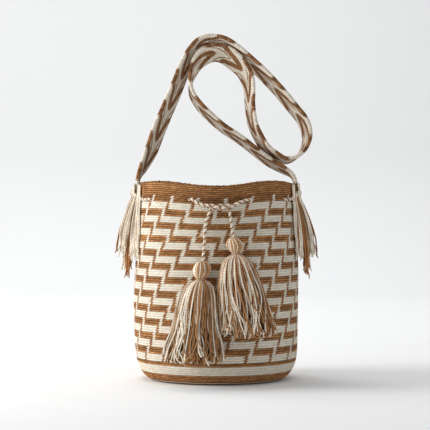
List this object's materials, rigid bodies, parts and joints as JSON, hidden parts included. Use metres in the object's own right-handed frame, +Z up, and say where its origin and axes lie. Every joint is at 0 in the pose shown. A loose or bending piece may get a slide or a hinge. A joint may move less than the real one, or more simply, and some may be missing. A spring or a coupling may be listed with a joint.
{
  "type": "crocheted bucket bag",
  "caption": "Crocheted bucket bag with a stepped pattern, a woven shoulder strap, a threaded drawstring, hanging yarn tassels and side fringes.",
  "frame": {"origin": "centre of the flat base, at the height where the bag stands", "axes": "+Z up along the bag's axis, -Y towards the front with the tassels, and +X towards the strap seam on the side where the shorter cord end hangs"},
  "size_m": [0.308, 0.2929, 0.5209],
  "materials": {
    "crochet": "matte brown and cream cotton crochet",
    "woven_band": "matte cream and brown woven band",
    "cream_yarn": "matte cream cotton yarn",
    "mixed_yarn": "matte tan, brown and cream cotton yarn",
    "brown_yarn": "matte brown cotton yarn"
  },
  "bodies": {
    "bag": {"bag_body": "crochet", "strap": "woven_band", "strap_fringe_left": "cream_yarn", "strap_fringe_right": "cream_yarn", "strap_sewing_left": "brown_yarn", "strap_sewing_right": "brown_yarn", "drawstring": "mixed_yarn"},
    "cord_end_left": {"drawstring_end_left": "mixed_yarn"},
    "cord_end_right": {"drawstring_end_right": "mixed_yarn"},
    "tassel_left": {"tassel_left": "mixed_yarn", "tassel_binding_left": "brown_yarn"},
    "tassel_right": {"tassel_right": "mixed_yarn", "tassel_binding_right": "brown_yarn"}
  },
  "joints": [
    {"name": "cord_end_left_lift", "type": "hinge", "parent": "bag", "child": "cord_end_left", "pos_m": [-0.009, -0.1232, 0.257], "axis": [-1, 0, 0], "range_deg": [0, 120]},
    {"name": "cord_end_right_lift", "type": "hinge", "parent": "bag", "child": "cord_end_right", "pos_m": [0.0188, -0.1232, 0.2575], "axis": [-1, 0, 0], "range_deg": [0, 120]},
    {"name": "tassel_left_sway", "type": "hinge", "parent": "cord_end_left", "child": "tassel_left", "pos_m": [-0.0195, -0.1335, 0.184], "axis": [0, 1, 0], "range_deg": [0, 35]},
    {"name": "tassel_right_sway", "type": "hinge", "parent": "cord_end_right", "child": "tassel_right", "pos_m": [0.0235, -0.1295, 0.2182], "axis": [0, -1, 0], "range_deg": [0, 35]}
  ]
}
